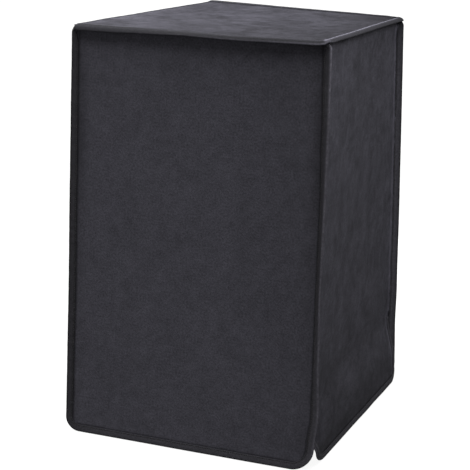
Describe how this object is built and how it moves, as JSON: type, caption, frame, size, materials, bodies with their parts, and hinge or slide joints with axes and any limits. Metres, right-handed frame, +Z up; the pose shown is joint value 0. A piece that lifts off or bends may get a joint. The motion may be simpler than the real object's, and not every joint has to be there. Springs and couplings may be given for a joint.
{
  "type": "fitted printer cover",
  "caption": "Fitted box-shaped dust cover for a tall desktop machine, sewn from charcoal woven cloth with bound seams standing outwards, open at the bottom.",
  "frame": {"origin": "centre of the underside of the top, where the cover rests on what it covers", "axes": "+Z up, -Y towards the front panel, +X towards the right side panel as seen from the front"},
  "size_m": [0.4886, 0.5865, 0.7606],
  "materials": {
    "cloth": "matt, fine plain weave, faintly mottled",
    "tape": "matt, fine ribbed binding tape"
  },
  "bodies": {
    "root": {"top_panel": "cloth", "front_panel": "cloth", "back_panel": "cloth", "left_panel": "cloth", "right_panel": "cloth", "top_binding": "tape", "front_binding": "tape", "back_binding": "tape", "left_hem_binding": "tape", "right_hem_binding": "tape"}
  },
  "joints": []
}
